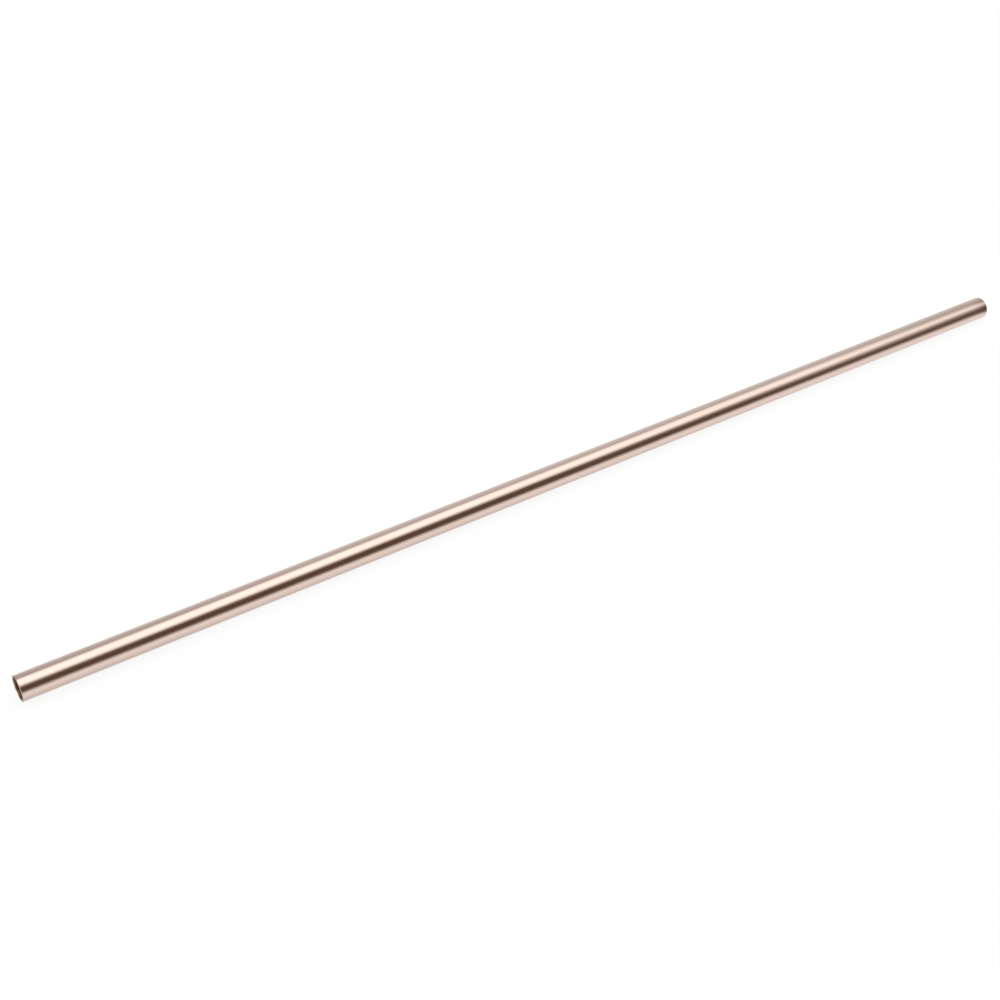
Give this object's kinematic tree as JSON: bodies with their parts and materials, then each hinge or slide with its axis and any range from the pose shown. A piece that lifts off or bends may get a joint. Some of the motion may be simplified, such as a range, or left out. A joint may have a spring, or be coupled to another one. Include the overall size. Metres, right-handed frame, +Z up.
{
  "type": "copper pipe length",
  "caption": "Straight round copper tube for water and heating runs, open right through and cut square at both ends.",
  "frame": {"origin": "middle of the tube's underside, on the floor that it lies on", "axes": "+X along the tube, +Z up, +Y across the tube"},
  "size_m": [0.6096, 0.0126, 0.0127],
  "materials": {
    "drawn_copper": "bright hard-drawn copper, with fine draw lines along the tube"
  },
  "bodies": {
    "root": {"pipe": "drawn_copper"}
  },
  "joints": []
}
